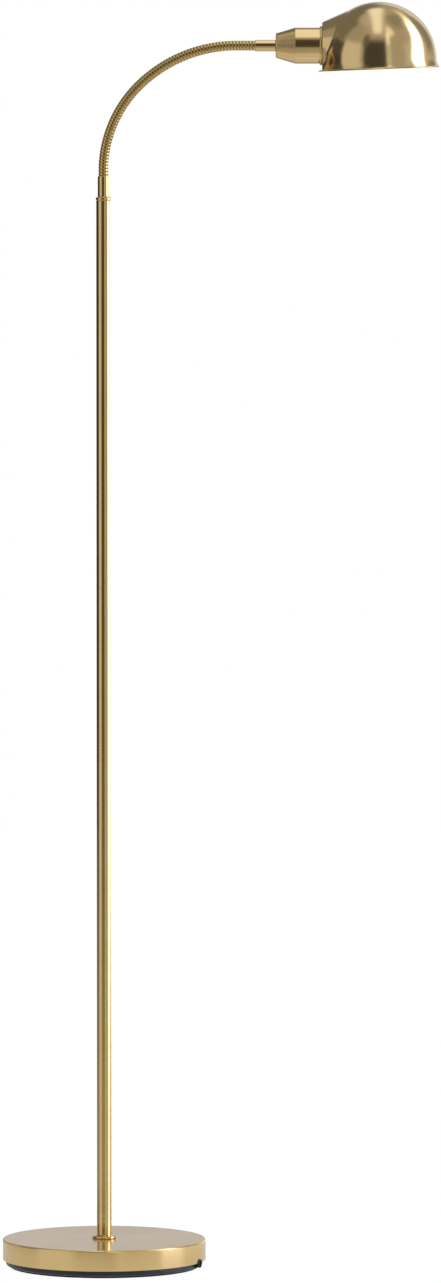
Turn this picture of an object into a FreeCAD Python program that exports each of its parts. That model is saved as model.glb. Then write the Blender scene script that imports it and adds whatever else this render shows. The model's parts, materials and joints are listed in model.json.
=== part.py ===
import FreeCAD, Part
import math
import os
from FreeCAD import Placement, Rotation, Vector

# Gooseneck reading floor lamp, in millimetres.
# The origin is the middle of the base on the floor, +Z is up, and the shade reaches towards +X.

# ---------------------------------------------------------------- driving sizes

# base: a pressed brass pan over a cast weight, on a soft pad
cover_radius = 112.5
cover_height = 22.9
cover_wall = 1.0
cover_edge_radius = 1.8
cover_inner_edge_radius = 0.8
cover_fit = 0.4  # gap between the weight's side and the pan
foot_inset = 3.5  # of the foot's side from the pan's
foot_height = 8.4  # from the floor to the lower edge of the brass
foot_edge_radius = 2.5
pad_inset = 5.0  # of the pad's side from the foot's
pad_thickness = 2.0
weight_edge_chamfer = 1.5
nut_recess_radius = 24.0
web_thickness = 6.3  # of the weight above the nut recess
weight_hub_radius = 40.0  # inside the ring recess
weight_rim_width = 17.0  # outside the ring recess
ring_recess_depth = 17.0

# cord inlet: a grommet in a notch of the pan's lower edge
inlet_azimuth = -20.0  # degrees from +X
inlet_height = 8.0
inlet_bore_radius = 3.1
grommet_neck_radius = 3.9
grommet_flange_radius = 4.8
grommet_flange_thickness = 1.4
grommet_edge_radius = 0.5
grommet_fit = 0.1
channel_width = 8.0
channel_height = 9.5

# threaded tube that runs through the base, between the pole's sections and out of the ferrules
thread_radius = 5.0
thread_bore_radius = 3.5
thread_fit = 0.05
hole_fit = 0.25  # gap round the thread in a plain hole
foot_nipple_below = 14.3  # how far the nipple reaches under the pan's top
nut_across_flats = 14.0
nut_thickness = 3.5
nut_chamfer = 0.7
flat_washer_radius = 13.0
flat_washer_thickness = 1.5
lock_washer_radius = 8.6
lock_washer_thickness = 0.8
lock_washer_teeth = 10
lock_washer_notch = 1.3

# pole
collar_radius = 13.5
collar_height = 2.7
collar_edge_radius = 1.25
pole_radius = 8.0
pole_wall = 1.0
pole_length = 1147.6
pole_sections = 3
insert_length = 14.0
insert_fit = 0.03
cap_radius = 8.4
cap_height = 4.0
cap_edge_radius = 1.3
cap_spigot_length = 11.0

# ferrules at the gooseneck's two ends
ferrule_radius = 6.3
ferrule_length = 23.0
ferrule_edge_radius = 0.6
ferrule_socket_depth = 12.0
ferrule_bore_radius = 3.0
ferrule_fit = 0.05
lower_stub_length = 9.0

# gooseneck: a straight run, two tangent bends and a straight run, all in the XZ plane
neck_lower_straight = 6.3
neck_lower_bend_radius = 130.7
neck_lower_bend_angle = 45.0
neck_upper_bend_radius = 152.9
neck_upper_bend_angle = 45.0
neck_upper_straight = 20.4
neck_crest_radius = 5.4
neck_groove_radius = 4.75
neck_bore_radius = 2.9
neck_tail_length = 11.7  # what each ferrule holds
neck_joints = 12
ribs_per_link = 6
ribs_at_each_end = 2
rib_root_share = 0.1  # of the pitch, from a groove's middle to the foot of the rib
rib_crest_share = 0.3
link_gap = 1.6  # between one link and the next, in the groove over the seat
seat_radius = 4.15
seat_fit = 0.08

# socket cup and the ring that closes it
cup_length = 48.3
cup_neck_radius = 13.4
cup_radius = 19.85
cup_cone_length = 21.5
cup_wall = 1.2
cup_edge_radius = 1.6
ring_radius = 21.6
ring_thickness = 3.0
ring_edge_radius = 1.3

# lampholder for a small screw cap, held on the upper ferrule's thread
holder_washer_radius = 9.5
holder_washer_thickness = 1.0
holder_radius = 13.5
holder_fit = 0.3  # gap round the holder in the ring and the shade
holder_cap_neck_radius = 9.0
holder_cap_neck_length = 3.0
holder_cap_length = 14.0
holder_cap_taper = 4.0
holder_wall = 2.5
holder_mouth = 6.7  # how far the mouth stands inside the shade
block_length = 10.0
block_fit = 0.1
shell_bore_radius = 7.0
shell_wall = 0.5
shell_length = 21.0
shell_fit = 0.05
contact_width = 4.0
contact_thickness = 0.5
tongue_foot = 2.5
tongue_ramp = 1.8
screw_radius = 1.5
screw_head_radius = 2.6
screw_head_height = 2.0
screw_depth = 6.0
screw_offset = 6.5
screw_slot_width = 0.7
screw_slot_depth = 0.9
clamp_ring_radius = 18.5
clamp_ring_thickness = 5.0
clamp_ring_notches = 8
clamp_ring_notch_radius = 1.6

# bulb
bulb_length = 78.0
bulb_cap_length = 25.0
bulb_cap_radius = 6.9
bulb_cap_insulator_length = 3.6
bulb_tip_length = 1.6
bulb_tip_radius = 2.4
globe_radius = 22.5
globe_neck_radius = 9.5
globe_blend_radius = 9.0
cap_wall = 0.35
glass_wall = 0.8

# shade: a dome with a slightly flared skirt and a lip, and a conical collar towards the cup
shade_wall = 0.8
dome_radius = 63.5
dome_offset = 62.7  # from the shade's flat end face to the dome's axis
dome_centre_height = 10.7  # above the lip's lower face
skirt_flare_radius = 26.0
skirt_height = 2.0  # where the flare ends and the lip's sweep begins
lip_radius = 66.9
lip_thickness = 1.0
lip_edge_radius = 0.4
collar_cone_radius = 25.9
collar_cone_angle = 24.0
collar_cone_length = 38.0
collar_blend_radius = 14.0
end_face_wall = 1.0
shade_tilt = 2.2  # degrees, far side up
shade_drop = 26.1  # from the cup's axis down to the lip's lower face, at the dome's axis

# ---------------------------------------------------------------- sizes that follow

UP = Vector(0, 0, 1)
ALONG = Vector(1, 0, 0)
SIDE = Vector(0, 1, 0)
ORIGIN = Vector(0, 0, 0)
NEARLY = 1e-4  # lengths closer than this are taken as equal

foot_radius = cover_radius - foot_inset
pad_radius = foot_radius - pad_inset
cover_top = foot_height + cover_height
weight_top = cover_top - cover_wall
web_bottom = weight_top - web_thickness
collar_top = cover_top + collar_height
pole_top = collar_top + pole_length
section_length = pole_length / pole_sections
cap_top = pole_top + cap_height
neck_start = cap_top + ferrule_length
pole_bore_radius = pole_radius - pole_wall
hole_radius = thread_radius + hole_fit
tapped_radius = thread_radius + thread_fit
insert_radius = pole_bore_radius - insert_fit

NECK_RUNS = [
    (neck_lower_straight, None),
    (neck_lower_bend_radius * math.radians(neck_lower_bend_angle), neck_lower_bend_radius),
    (neck_upper_bend_radius * math.radians(neck_upper_bend_angle), neck_upper_bend_radius),
    (neck_upper_straight, None),
]
neck_length = sum(length for length, radius in NECK_RUNS)
rib_count = ribs_per_link * (neck_joints - 1) + 2 * ribs_at_each_end
rib_pitch = neck_length / rib_count
seat_bore = seat_radius + seat_fit

# places along the cup's axis, from the upper ferrule's shoulder
nut_place = cup_wall + holder_washer_thickness
holder_place = nut_place + nut_thickness
block_place = holder_place + holder_cap_length
end_face_place = cup_length + ring_thickness
mouth_place = end_face_place + holder_mouth
holder_cavity_radius = holder_radius - holder_wall
bulb_place = mouth_place - bulb_cap_length


# ---------------------------------------------------------------- common forms


def turned(profile):
    """A solid of revolution about Z from a closed outline of (radius, height) corners."""
    corners = [Vector(radius, 0, height) for radius, height in profile]
    outline = Part.makePolygon(corners + corners[:1])
    return Part.Face(outline).revolve(ORIGIN, UP, 360)


def tube(outer, inner, length, start=0.0):
    """A round tube on Z."""
    return turned([(inner, start), (outer, start), (outer, start + length), (inner, start + length)])


def rounded(shape, size, rims, chamfer=False):
    """Rounds the circular edges that lie at the given (radius, height) rims about Z."""
    edges = []
    for edge in shape.Edges:
        curve = None if edge.Degenerated else edge.Curve
        if not isinstance(curve, Part.Circle):
            continue
        for radius, height in rims:
            same_size = abs(curve.Radius - radius) < NEARLY
            same_place = abs(curve.Center.z - height) < NEARLY
            if same_size and same_place:
                edges.append(edge)
    return shape.makeChamfer(size, edges) if chamfer else shape.makeFillet(size, edges)


def hexagon_nut(thickness, start=0.0):
    """A hexagon nut on Z with its corners turned off on both faces."""
    corner = nut_across_flats / math.sqrt(3)
    points = [
        Vector(corner * math.cos(math.radians(60 * i)), corner * math.sin(math.radians(60 * i)), start)
        for i in range(6)
    ]
    prism = Part.Face(Part.makePolygon(points + points[:1])).extrude(UP * thickness)
    top = start + thickness
    face_radius = corner - 2 * nut_chamfer
    envelope = turned([
        (0, start), (face_radius, start), (corner, start + nut_chamfer),
        (corner, top - nut_chamfer), (face_radius, top), (0, top),
    ])
    hole = Part.makeCylinder(tapped_radius, thickness, UP * start)
    return prism.common(envelope).cut(hole)


def placed(shape, place):
    """The same shape, moved to a place."""
    copy = shape.copy()
    copy.Placement = place.multiply(copy.Placement)
    return copy


# ---------------------------------------------------------------- base


def radial_place(distance, height):
    """A place on the inlet's line, whose Z axis points out of the base."""
    azimuth = math.radians(inlet_azimuth)
    outward = Vector(math.cos(azimuth), math.sin(azimuth), 0)
    return Placement(outward * distance + UP * height, Rotation(UP, outward))


def channel(width, bottom, top, reach):
    """A straight bar from the base's axis out along the inlet's line."""
    bar = Part.makeBox(reach, width, top - bottom, Vector(0, -width / 2, bottom))
    bar.rotate(ORIGIN, UP, inlet_azimuth)
    return bar


def floor_pad():
    return Part.makeCylinder(pad_radius, pad_thickness)


def base_weight():
    """Cast disc: stepped side, ring recess and nut recess from below, cord channel to the inlet."""
    radius = cover_radius - cover_wall - cover_fit
    recess_top = pad_thickness + ring_recess_depth
    recess_outer = foot_radius - weight_rim_width
    disc = turned([
        (hole_radius, weight_top), (radius, weight_top), (radius, foot_height),
        (foot_radius, foot_height), (foot_radius, pad_thickness), (recess_outer, pad_thickness),
        (recess_outer, recess_top), (weight_hub_radius, recess_top),
        (weight_hub_radius, pad_thickness), (nut_recess_radius, pad_thickness),
        (nut_recess_radius, web_bottom), (hole_radius, web_bottom),
    ])
    disc = rounded(disc, foot_edge_radius, [(foot_radius, pad_thickness)])
    disc = rounded(disc, weight_edge_chamfer, [(radius, weight_top)], chamfer=True)
    groove = channel(channel_width, pad_thickness, pad_thickness + channel_height, foot_radius)
    depth = cover_wall + grommet_flange_thickness + 2 * grommet_fit
    pocket = Part.makeCylinder(grommet_flange_radius + cover_fit, depth + cover_wall)
    mouth = placed(pocket, radial_place(cover_radius - depth - cover_wall, inlet_height))
    return disc.cut(groove).cut(mouth)


def base_cover():
    """Pressed pan, open below, with the pole's hole and the notch for the grommet."""
    outer = turned([
        (0, foot_height), (cover_radius, foot_height), (cover_radius, cover_top), (0, cover_top),
    ])
    outer = rounded(outer, cover_edge_radius, [(cover_radius, cover_top)])
    inside = cover_radius - cover_wall
    inner = turned([(0, foot_height), (inside, foot_height), (inside, weight_top), (0, weight_top)])
    inner = rounded(inner, cover_inner_edge_radius, [(inside, weight_top)])
    hole = Part.makeCylinder(hole_radius, cover_top)
    notch_radius = grommet_neck_radius + grommet_fit
    wall_place = radial_place(inside - cover_wall, inlet_height)
    notch = placed(Part.makeCylinder(notch_radius, 3 * cover_wall), wall_place)
    slot = channel(2 * notch_radius, 0, max(inlet_height, foot_height), cover_radius + cover_wall)
    slot = slot.cut(Part.makeCylinder(inside - cover_wall, cover_top))
    return outer.cut(inner).cut(hole).cut(notch).cut(slot)


def inlet_grommet():
    """Soft grommet that snaps into the pan's notch, with a round bore for a cord."""
    inner_face = -cover_wall - grommet_fit
    inner_end = inner_face - grommet_flange_thickness
    outline = [
        (inlet_bore_radius, grommet_flange_thickness),
        (grommet_flange_radius, grommet_flange_thickness),
        (grommet_flange_radius, 0), (grommet_neck_radius, 0), (grommet_neck_radius, inner_face),
        (grommet_flange_radius, inner_face), (grommet_flange_radius, inner_end),
        (inlet_bore_radius, inner_end),
    ]
    rims = [(grommet_flange_radius, grommet_flange_thickness)]
    body = rounded(turned(outline), grommet_edge_radius, rims)
    return placed(body, radial_place(cover_radius, inlet_height))


def foot_collar():
    """Low bead, nearly full round at its edge, that the pole stands on."""
    ring = tube(collar_radius, hole_radius, collar_height, cover_top)
    rims = [(collar_radius, cover_top), (collar_radius, collar_top)]
    return rounded(ring, collar_edge_radius, rims)


def foot_nipple():
    length = foot_nipple_below + collar_top - cover_top + insert_length
    return tube(thread_radius, thread_bore_radius, length, cover_top - foot_nipple_below)


def foot_washers():
    """Flat washer under the weight's web, and a toothed washer between it and the nut."""
    flat_bottom = web_bottom - flat_washer_thickness
    flat = tube(flat_washer_radius, hole_radius, flat_washer_thickness, flat_bottom)
    toothed_bottom = flat_bottom - lock_washer_thickness
    toothed = tube(lock_washer_radius, hole_radius, lock_washer_thickness, toothed_bottom)
    for tooth in range(lock_washer_teeth):
        notch = Part.makeBox(
            2 * lock_washer_notch, lock_washer_notch, lock_washer_thickness,
            Vector(lock_washer_radius - lock_washer_notch, -lock_washer_notch / 2, toothed_bottom),
        )
        notch.rotate(ORIGIN, UP, 360 * tooth / lock_washer_teeth)
        toothed = toothed.cut(notch)
    return Part.makeCompound([flat, toothed])


def foot_nut():
    top = web_bottom - flat_washer_thickness - lock_washer_thickness
    return hexagon_nut(nut_thickness, top - nut_thickness)


# ---------------------------------------------------------------- pole


def pole_section(index):
    """One plain length of the pole's tube."""
    return tube(pole_radius, pole_bore_radius, section_length, collar_top + index * section_length)


def pole_inserts():
    """Tapped inserts, one in each end of each section but the top one, which takes the cap."""
    starts = []
    for index in range(pole_sections):
        bottom = collar_top + index * section_length
        starts.append(bottom)
        if index < pole_sections - 1:
            starts.append(bottom + section_length - insert_length)
    inserts = [tube(insert_radius, tapped_radius, insert_length, start) for start in starts]
    return Part.makeCompound(inserts)


def pole_studs():
    """Hollow studs that join one section to the next."""
    studs = []
    for index in range(1, pole_sections):
        start = collar_top + index * section_length - insert_length
        studs.append(tube(thread_radius, thread_bore_radius, 2 * insert_length, start))
    return Part.makeCompound(studs)


def pole_cap():
    """Beaded cap with a spigot inside the pole, tapped for the lower ferrule."""
    spigot_end = pole_top - cap_spigot_length
    body = turned([
        (tapped_radius, spigot_end), (insert_radius, spigot_end), (insert_radius, pole_top),
        (cap_radius, pole_top), (cap_radius, cap_top), (tapped_radius, cap_top),
    ])
    return rounded(body, cap_edge_radius, [(cap_radius, pole_top), (cap_radius, cap_top)])


# ---------------------------------------------------------------- gooseneck


def neck_point(along):
    """The centreline's point and direction, at a length along it from the lower ferrule's mouth."""
    point = UP * neck_start
    heading = UP
    left = along
    for index, (length, radius) in enumerate(NECK_RUNS):
        last = index == len(NECK_RUNS) - 1
        step = left if last else min(left, length)
        if radius:
            turn = step / radius
            inward = heading.cross(SIDE) * -1
            point = point + heading * (radius * math.sin(turn))
            point = point + inward * (radius * (1 - math.cos(turn)))
            heading = heading * math.cos(turn) + inward * math.sin(turn)
        else:
            point = point + heading * step
        left -= step
        if left <= 0:
            break
    return point, heading


def neck_place(along):
    """A place on the centreline: Z along it, X always sideways."""
    point, heading = neck_point(along)
    return Placement(point, Rotation(SIDE, Vector(), heading, "ZXY"))


def neck_stretch(start, end):
    """The centreline from one length to another, as lines and arcs."""
    breaks = [start]
    reached = 0.0
    for length, radius in NECK_RUNS[:-1]:
        reached += length
        if start < reached < end:
            breaks.append(reached)
    breaks.append(end)
    edges = []
    for first, second in zip(breaks, breaks[1:]):
        middle = (first + second) / 2
        begin, through, finish = (neck_point(place)[0] for place in (first, middle, second))
        straight = begin.add(finish).multiply(0.5).distanceToPoint(through) < NEARLY
        curve = Part.LineSegment(begin, finish) if straight else Part.Arc(begin, through, finish)
        edges.append(curve.toShape())
    return Part.Wire(edges)


def neck_circle(along, radius):
    """A circle square to the centreline, its seam always on the same side."""
    circle = Part.Wire([Part.Circle(ORIGIN, UP, radius).toShape()])
    return placed(circle, neck_place(along))


def joint_along(joint):
    """Where a bending point lies: in the groove after the first ribs, then once per link."""
    return (ribs_at_each_end + ribs_per_link * (joint - 1)) * rib_pitch


def neck_link(index):
    """One stretch of the gooseneck, with ribs outside and a bore inside.

    A round nose on its far end sits in the next stretch's cup. The first and last stretches end
    in plain tails inside the ferrules.
    """
    first = index == 0
    last = index == neck_joints
    first_rib = 0 if first else ribs_at_each_end + ribs_per_link * (index - 1)
    ribs = ribs_at_each_end if first or last else ribs_per_link
    begin = -neck_tail_length if first else joint_along(index) + link_gap / 2
    finish = neck_length + neck_tail_length if last else joint_along(index + 1) - link_gap / 2
    rings = []
    for rib in range(first_rib, first_rib + ribs):
        rings += [
            ((rib + rib_root_share) * rib_pitch, neck_groove_radius),
            ((rib + rib_crest_share) * rib_pitch, neck_crest_radius),
            ((rib + 1 - rib_crest_share) * rib_pitch, neck_crest_radius),
            ((rib + 1 - rib_root_share) * rib_pitch, neck_groove_radius),
        ]
    if first:
        rings.insert(0, (begin, neck_groove_radius))
    else:
        rings[0] = (begin, neck_groove_radius)
    if last:
        rings.append((finish, neck_groove_radius))
    else:
        rings[-1] = (finish, neck_groove_radius)
    link = Part.makeLoft([neck_circle(along, radius) for along, radius in rings], True, True)
    if not last:
        root = math.degrees(math.asin(link_gap / seat_radius))
        nose = Part.makeSphere(seat_radius, ORIGIN, UP, -root, 90, 360)
        link = link.fuse(placed(nose, neck_place(joint_along(index + 1))))
    if not first:
        cup = Part.makeSphere(seat_bore)
        link = link.cut(placed(cup, neck_place(joint_along(index))))
    bore_start = begin - link_gap
    path = neck_stretch(bore_start, finish + link_gap + seat_radius)
    bore = path.makePipeShell([neck_circle(bore_start, neck_bore_radius)], True, False)
    return link.cut(bore)


def ferrule(stub_length):
    """Turned sleeve on Z: shoulder at 0, socket for the gooseneck above, threaded stub below."""
    socket_radius = neck_groove_radius + ferrule_fit
    socket_floor = ferrule_length - ferrule_socket_depth
    body = turned([
        (ferrule_bore_radius, -stub_length), (thread_radius, -stub_length), (thread_radius, 0),
        (ferrule_radius, 0), (ferrule_radius, ferrule_length), (socket_radius, ferrule_length),
        (socket_radius, socket_floor), (ferrule_bore_radius, socket_floor),
    ])
    return rounded(body, ferrule_edge_radius, [(ferrule_radius, 0), (ferrule_radius, ferrule_length)])


def lower_ferrule():
    return placed(ferrule(lower_stub_length), Placement(UP * cap_top, Rotation()))


def upper_ferrule():
    stub_length = holder_place + holder_cap_neck_length + holder_cap_taper
    return placed(ferrule(stub_length), Placement(head_point(), Rotation(UP, ALONG * -1)))


# ---------------------------------------------------------------- cup and lampholder


def head_point():
    """The middle of the upper ferrule's shoulder, where the cup begins."""
    return neck_point(neck_length + ferrule_length)[0]


def on_head(shape):
    """A shape made on Z from the ferrule's shoulder, laid along the cup's axis."""
    return placed(shape, Placement(head_point(), Rotation(UP, ALONG)))


def socket_cup():
    """Spun cup: a cone that runs into a cylinder, open towards the shade."""
    outer = turned([
        (0, 0), (cup_neck_radius, 0), (cup_radius, cup_cone_length), (cup_radius, cup_length),
        (0, cup_length),
    ])
    outer = rounded(outer, cup_edge_radius, [(cup_neck_radius, 0)])
    inner = turned([
        (0, cup_wall), (cup_neck_radius - cup_wall, cup_wall),
        (cup_radius - cup_wall, cup_cone_length), (cup_radius - cup_wall, cup_length),
        (0, cup_length),
    ])
    hole = Part.makeCylinder(hole_radius, cup_length)
    return on_head(outer.cut(inner).cut(hole))


def cup_washer():
    return on_head(tube(holder_washer_radius, hole_radius, holder_washer_thickness, cup_wall))


def cup_nut():
    return on_head(hexagon_nut(nut_thickness, nut_place))


def holder_cap():
    """Moulded cap of the lampholder, tapped for the ferrule's thread."""
    neck_end = holder_place + holder_cap_neck_length
    taper_end = neck_end + holder_cap_taper
    return on_head(turned([
        (tapped_radius, holder_place), (holder_cap_neck_radius, holder_place),
        (holder_cap_neck_radius, neck_end), (holder_radius, taper_end),
        (holder_radius, block_place), (holder_cavity_radius, block_place),
        (holder_cavity_radius, taper_end), (tapped_radius, neck_end),
    ]))


def holder_body():
    """Moulded skirt of the lampholder: wide at the back for the block, narrow for the shell."""
    block_end = block_place + block_length
    shell_hole = shell_bore_radius + shell_wall + shell_fit
    body = turned([
        (holder_cavity_radius, block_place), (holder_radius, block_place),
        (holder_radius, mouth_place), (shell_bore_radius, mouth_place),
        (shell_bore_radius, mouth_place - shell_wall), (shell_hole, mouth_place - shell_wall),
        (shell_hole, block_end), (holder_cavity_radius, block_end),
    ])
    return on_head(rounded(body, shell_wall, [(holder_radius, mouth_place)], chamfer=True))


def terminal_block():
    """Moulded block at the back of the holder, with a screw hole for each lead."""
    block = Part.makeCylinder(holder_cavity_radius - block_fit, block_length, UP * block_place)
    for sign in (1, -1):
        base = Vector(0, sign * screw_offset, block_place)
        block = block.cut(Part.makeCylinder(screw_radius, screw_depth, base))
    return on_head(block)


def terminal_screws():
    screws = []
    for sign in (1, -1):
        base = Vector(0, sign * screw_offset, block_place)
        head = Part.makeCylinder(screw_head_radius, screw_head_height, base, UP * -1)
        shank = Part.makeCylinder(screw_radius - thread_fit, screw_depth, base)
        slot = Part.makeBox(
            2 * screw_head_radius, screw_slot_width, screw_slot_depth,
            base - Vector(screw_head_radius, screw_slot_width / 2, screw_head_height),
        )
        screws.append(head.cut(slot).fuse(shank))
    return on_head(Part.makeCompound(screws))


def screw_shell():
    outer = shell_bore_radius + shell_wall
    start = mouth_place - shell_length
    return on_head(tube(outer, shell_bore_radius, shell_length - shell_wall, start))


def holder_contacts():
    """A sprung tongue with its tip under the bulb's end contact, and a strip up to the shell."""
    block_end = block_place + block_length
    tip = bulb_place - thread_fit - block_end
    half = contact_width / 2
    ramp_top = -half
    ramp_foot = ramp_top - tongue_ramp
    foot_end = ramp_foot - tongue_foot
    under = tip - contact_thickness
    outline = [
        (foot_end, 0), (ramp_foot, 0), (ramp_top, under), (half, under), (half, tip),
        (ramp_top - contact_thickness, tip), (ramp_foot - contact_thickness, contact_thickness),
        (foot_end, contact_thickness),
    ]
    corners = [Vector(x, -half, block_end + height) for x, height in outline]
    tongue = Part.Face(Part.makePolygon(corners + corners[:1])).extrude(SIDE * contact_width)
    shell_start = mouth_place - shell_length
    shell_hole = shell_bore_radius + shell_wall + shell_fit
    strip_face = math.sqrt(shell_hole ** 2 - half ** 2)
    strip = Part.makeBox(
        contact_thickness, contact_width, shell_start - block_end,
        Vector(strip_face - contact_thickness, -half, block_end),
    )
    return on_head(Part.makeCompound([tongue, strip]))


def disc_ring():
    """Flat ring with a full round edge between the cup and the shade."""
    ring = tube(ring_radius, holder_radius + holder_fit, ring_thickness, cup_length)
    rims = [(ring_radius, cup_length), (ring_radius, end_face_place)]
    return on_head(rounded(ring, ring_edge_radius, rims))


def clamp_ring():
    """Ring on the holder's thread that holds the shade, with finger notches round its edge."""
    start = end_face_place + end_face_wall
    ring = tube(clamp_ring_radius, holder_radius + thread_fit, clamp_ring_thickness, start)
    for notch in range(clamp_ring_notches):
        angle = 2 * math.pi * notch / clamp_ring_notches
        rim = Vector(math.cos(angle), math.sin(angle), 0) * clamp_ring_radius
        place = rim + UP * start
        ring = ring.cut(Part.makeCylinder(clamp_ring_notch_radius, clamp_ring_thickness, place))
    return on_head(ring)


# ---------------------------------------------------------------- bulb


def bulb_outline(radius, neck_radius, inset):
    """Closed outline of the globe and its neck: an arc, a reversed blend and a short neck."""
    start = bulb_place + bulb_cap_length
    centre = bulb_place + bulb_length - globe_radius
    blend = globe_blend_radius + inset
    reach = neck_radius + blend
    drop = math.sqrt((radius + blend) ** 2 - reach ** 2)
    blend_centre = Vector(reach, 0, centre - drop)
    meet = Vector(0, 0, centre) + (blend_centre - Vector(0, 0, centre)) * (radius / (radius + blend))
    neck_end = Vector(neck_radius, 0, centre - drop)
    middle_angle = 0.5 * (math.pi + math.atan2(meet.z - blend_centre.z, meet.x - blend_centre.x))
    blend_middle = blend_centre + Vector(math.cos(middle_angle), 0, math.sin(middle_angle)) * blend
    top = Vector(0, 0, centre + radius)
    side = Vector(radius, 0, centre)
    edges = [
        Part.LineSegment(Vector(0, 0, start), Vector(neck_radius, 0, start)).toShape(),
        Part.LineSegment(Vector(neck_radius, 0, start), neck_end).toShape(),
        Part.Arc(neck_end, blend_middle, meet).toShape(),
        Part.Arc(meet, side, top).toShape(),
        Part.LineSegment(top, Vector(0, 0, start)).toShape(),
    ]
    return Part.Face(Part.Wire(edges)).revolve(ORIGIN, UP, 360)


def bulb_globe():
    """Blown glass, hollow, standing in its screw cap."""
    outer = bulb_outline(globe_radius, globe_neck_radius, 0)
    inner = bulb_outline(globe_radius - glass_wall, globe_neck_radius - glass_wall, glass_wall)
    return on_head(outer.cut(inner))


def bulb_cap():
    """Drawn brass shell that holds the glass."""
    bottom = bulb_place + bulb_tip_length + bulb_cap_insulator_length
    length = bulb_place + bulb_cap_length - bottom
    return on_head(tube(bulb_cap_radius, bulb_cap_radius - cap_wall, length, bottom))


def bulb_insulator():
    """Dark glass cone between the shell and the end contact."""
    start = bulb_place + bulb_tip_length
    end = start + bulb_cap_insulator_length
    return on_head(turned([(0, start), (bulb_tip_radius, start), (bulb_cap_radius, end), (0, end)]))


def bulb_contact():
    return on_head(Part.makeCylinder(bulb_tip_radius, bulb_tip_length, UP * bulb_place))


# ---------------------------------------------------------------- shade


def shade_place():
    """The middle of the lip's lower face, tilted as the shade is."""
    middle = head_point() + ALONG * (end_face_place + dome_offset) - UP * shade_drop
    return Placement(middle, Rotation(SIDE, -shade_tilt))


def flare(inset):
    """The skirt's arc, which leaves the dome upright and turns out: its centre, radius and turn."""
    centre = UP * dome_centre_height + ALONG * (dome_radius + skirt_flare_radius)
    radius = skirt_flare_radius + inset
    return centre, radius, math.asin((dome_centre_height - skirt_height) / radius)


def inward(turn):
    """The direction from a hollow arc's centre to its point, at a turn down from level."""
    return (ALONG * math.cos(turn) + UP * math.sin(turn)) * -1


def dome(inset):
    """The dome and its flared skirt as a full solid on Z, above the lip's lower face."""
    radius = dome_radius - inset
    centre = UP * dome_centre_height
    top = centre + UP * radius
    side = centre + ALONG * radius
    middle = centre + (UP + ALONG) * (radius * math.sqrt(0.5))
    flare_centre, flare_radius, turn = flare(inset)
    skirt = flare_centre + inward(turn) * flare_radius
    skirt_middle = flare_centre + inward(turn / 2) * flare_radius
    edges = [Part.Arc(top, middle, side).toShape(), Part.Arc(side, skirt_middle, skirt).toShape()]
    corners = [skirt, ALONG * skirt.x, ORIGIN, top]
    for first, second in zip(corners, corners[1:]):
        edges.append(Part.LineSegment(first, second).toShape())
    return placed(Part.Face(Part.Wire(edges)).revolve(ORIGIN, UP, 360), shade_place())


def lip():
    """The out-turned lip: a tight arc that takes up the skirt's slope and sweeps it out level."""
    flare_centre, flare_radius, turn = flare(0)
    skirt = flare_centre + inward(turn) * flare_radius
    sweep = (skirt_height - lip_thickness) / (1 - math.sin(turn))
    centre = skirt - inward(turn) * sweep
    middle = centre + inward((turn + math.pi / 2) / 2) * sweep
    end = centre - UP * sweep
    edge = ALONG * lip_radius
    root = ALONG * (dome_offset - end_face_wall / 2)
    corners = [end, edge + UP * lip_thickness, edge, root, root + UP * skirt_height, skirt]
    edges = [Part.Arc(skirt, middle, end).toShape()]
    for first, second in zip(corners, corners[1:]):
        edges.append(Part.LineSegment(first, second).toShape())
    ring = Part.Face(Part.Wire(edges)).revolve(ORIGIN, UP, 360)
    rims = [(lip_radius, 0), (lip_radius, lip_thickness)]
    return placed(rounded(ring, lip_edge_radius, rims), shade_place())


def shade_form(inset):
    """The dome with the conical collar blended into it, cut flat at the end face."""
    slope = math.tan(math.radians(collar_cone_angle))
    lead = collar_cone_length / 3
    mouth = collar_cone_radius - inset / math.cos(math.radians(collar_cone_angle))
    collar = on_head(Part.makeCone(
        mouth - lead * slope, mouth + collar_cone_length * slope, lead + collar_cone_length,
        UP * (end_face_place - lead),
    ))
    size = 2 * lip_radius
    above = placed(Part.makeBox(2 * size, 2 * size, size, Vector(-size, -size, 0)), shade_place())
    body = dome(inset).fuse(collar.common(above))
    seam = [
        edge for edge in body.Edges
        if not edge.Degenerated and isinstance(edge.Curve, Part.BSplineCurve)
    ]
    body = body.makeFillet(collar_blend_radius + inset, seam)
    face = end_face_place + (end_face_wall if inset else 0)
    return body.cut(on_head(Part.makeCylinder(size, size, UP * (face - size))))


def shade():
    """Thin pressed shade: the outer form less the inner one, with the lampholder's hole."""
    start = UP * (end_face_place - end_face_wall / 2)
    hole = on_head(Part.makeCylinder(holder_radius + holder_fit, 2 * end_face_wall, start))
    return shade_form(0).fuse(lip()).cut(shade_form(shade_wall)).cut(hole)


# ---------------------------------------------------------------- all pieces

PIECES = {
    "floor_pad": floor_pad,
    "base_weight": base_weight,
    "base_cover": base_cover,
    "inlet_grommet": inlet_grommet,
    "foot_collar": foot_collar,
    "foot_nipple": foot_nipple,
    "foot_washers": foot_washers,
    "foot_nut": foot_nut,
    "pole_inserts": pole_inserts,
    "pole_studs": pole_studs,
    "pole_cap": pole_cap,
    "lower_ferrule": lower_ferrule,
    "upper_ferrule": upper_ferrule,
    "socket_cup": socket_cup,
    "cup_washer": cup_washer,
    "cup_nut": cup_nut,
    "holder_cap": holder_cap,
    "holder_body": holder_body,
    "terminal_block": terminal_block,
    "terminal_screws": terminal_screws,
    "screw_shell": screw_shell,
    "holder_contacts": holder_contacts,
    "disc_ring": disc_ring,
    "clamp_ring": clamp_ring,
    "bulb_globe": bulb_globe,
    "bulb_cap": bulb_cap,
    "bulb_insulator": bulb_insulator,
    "bulb_contact": bulb_contact,
    "shade": shade,
}


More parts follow.
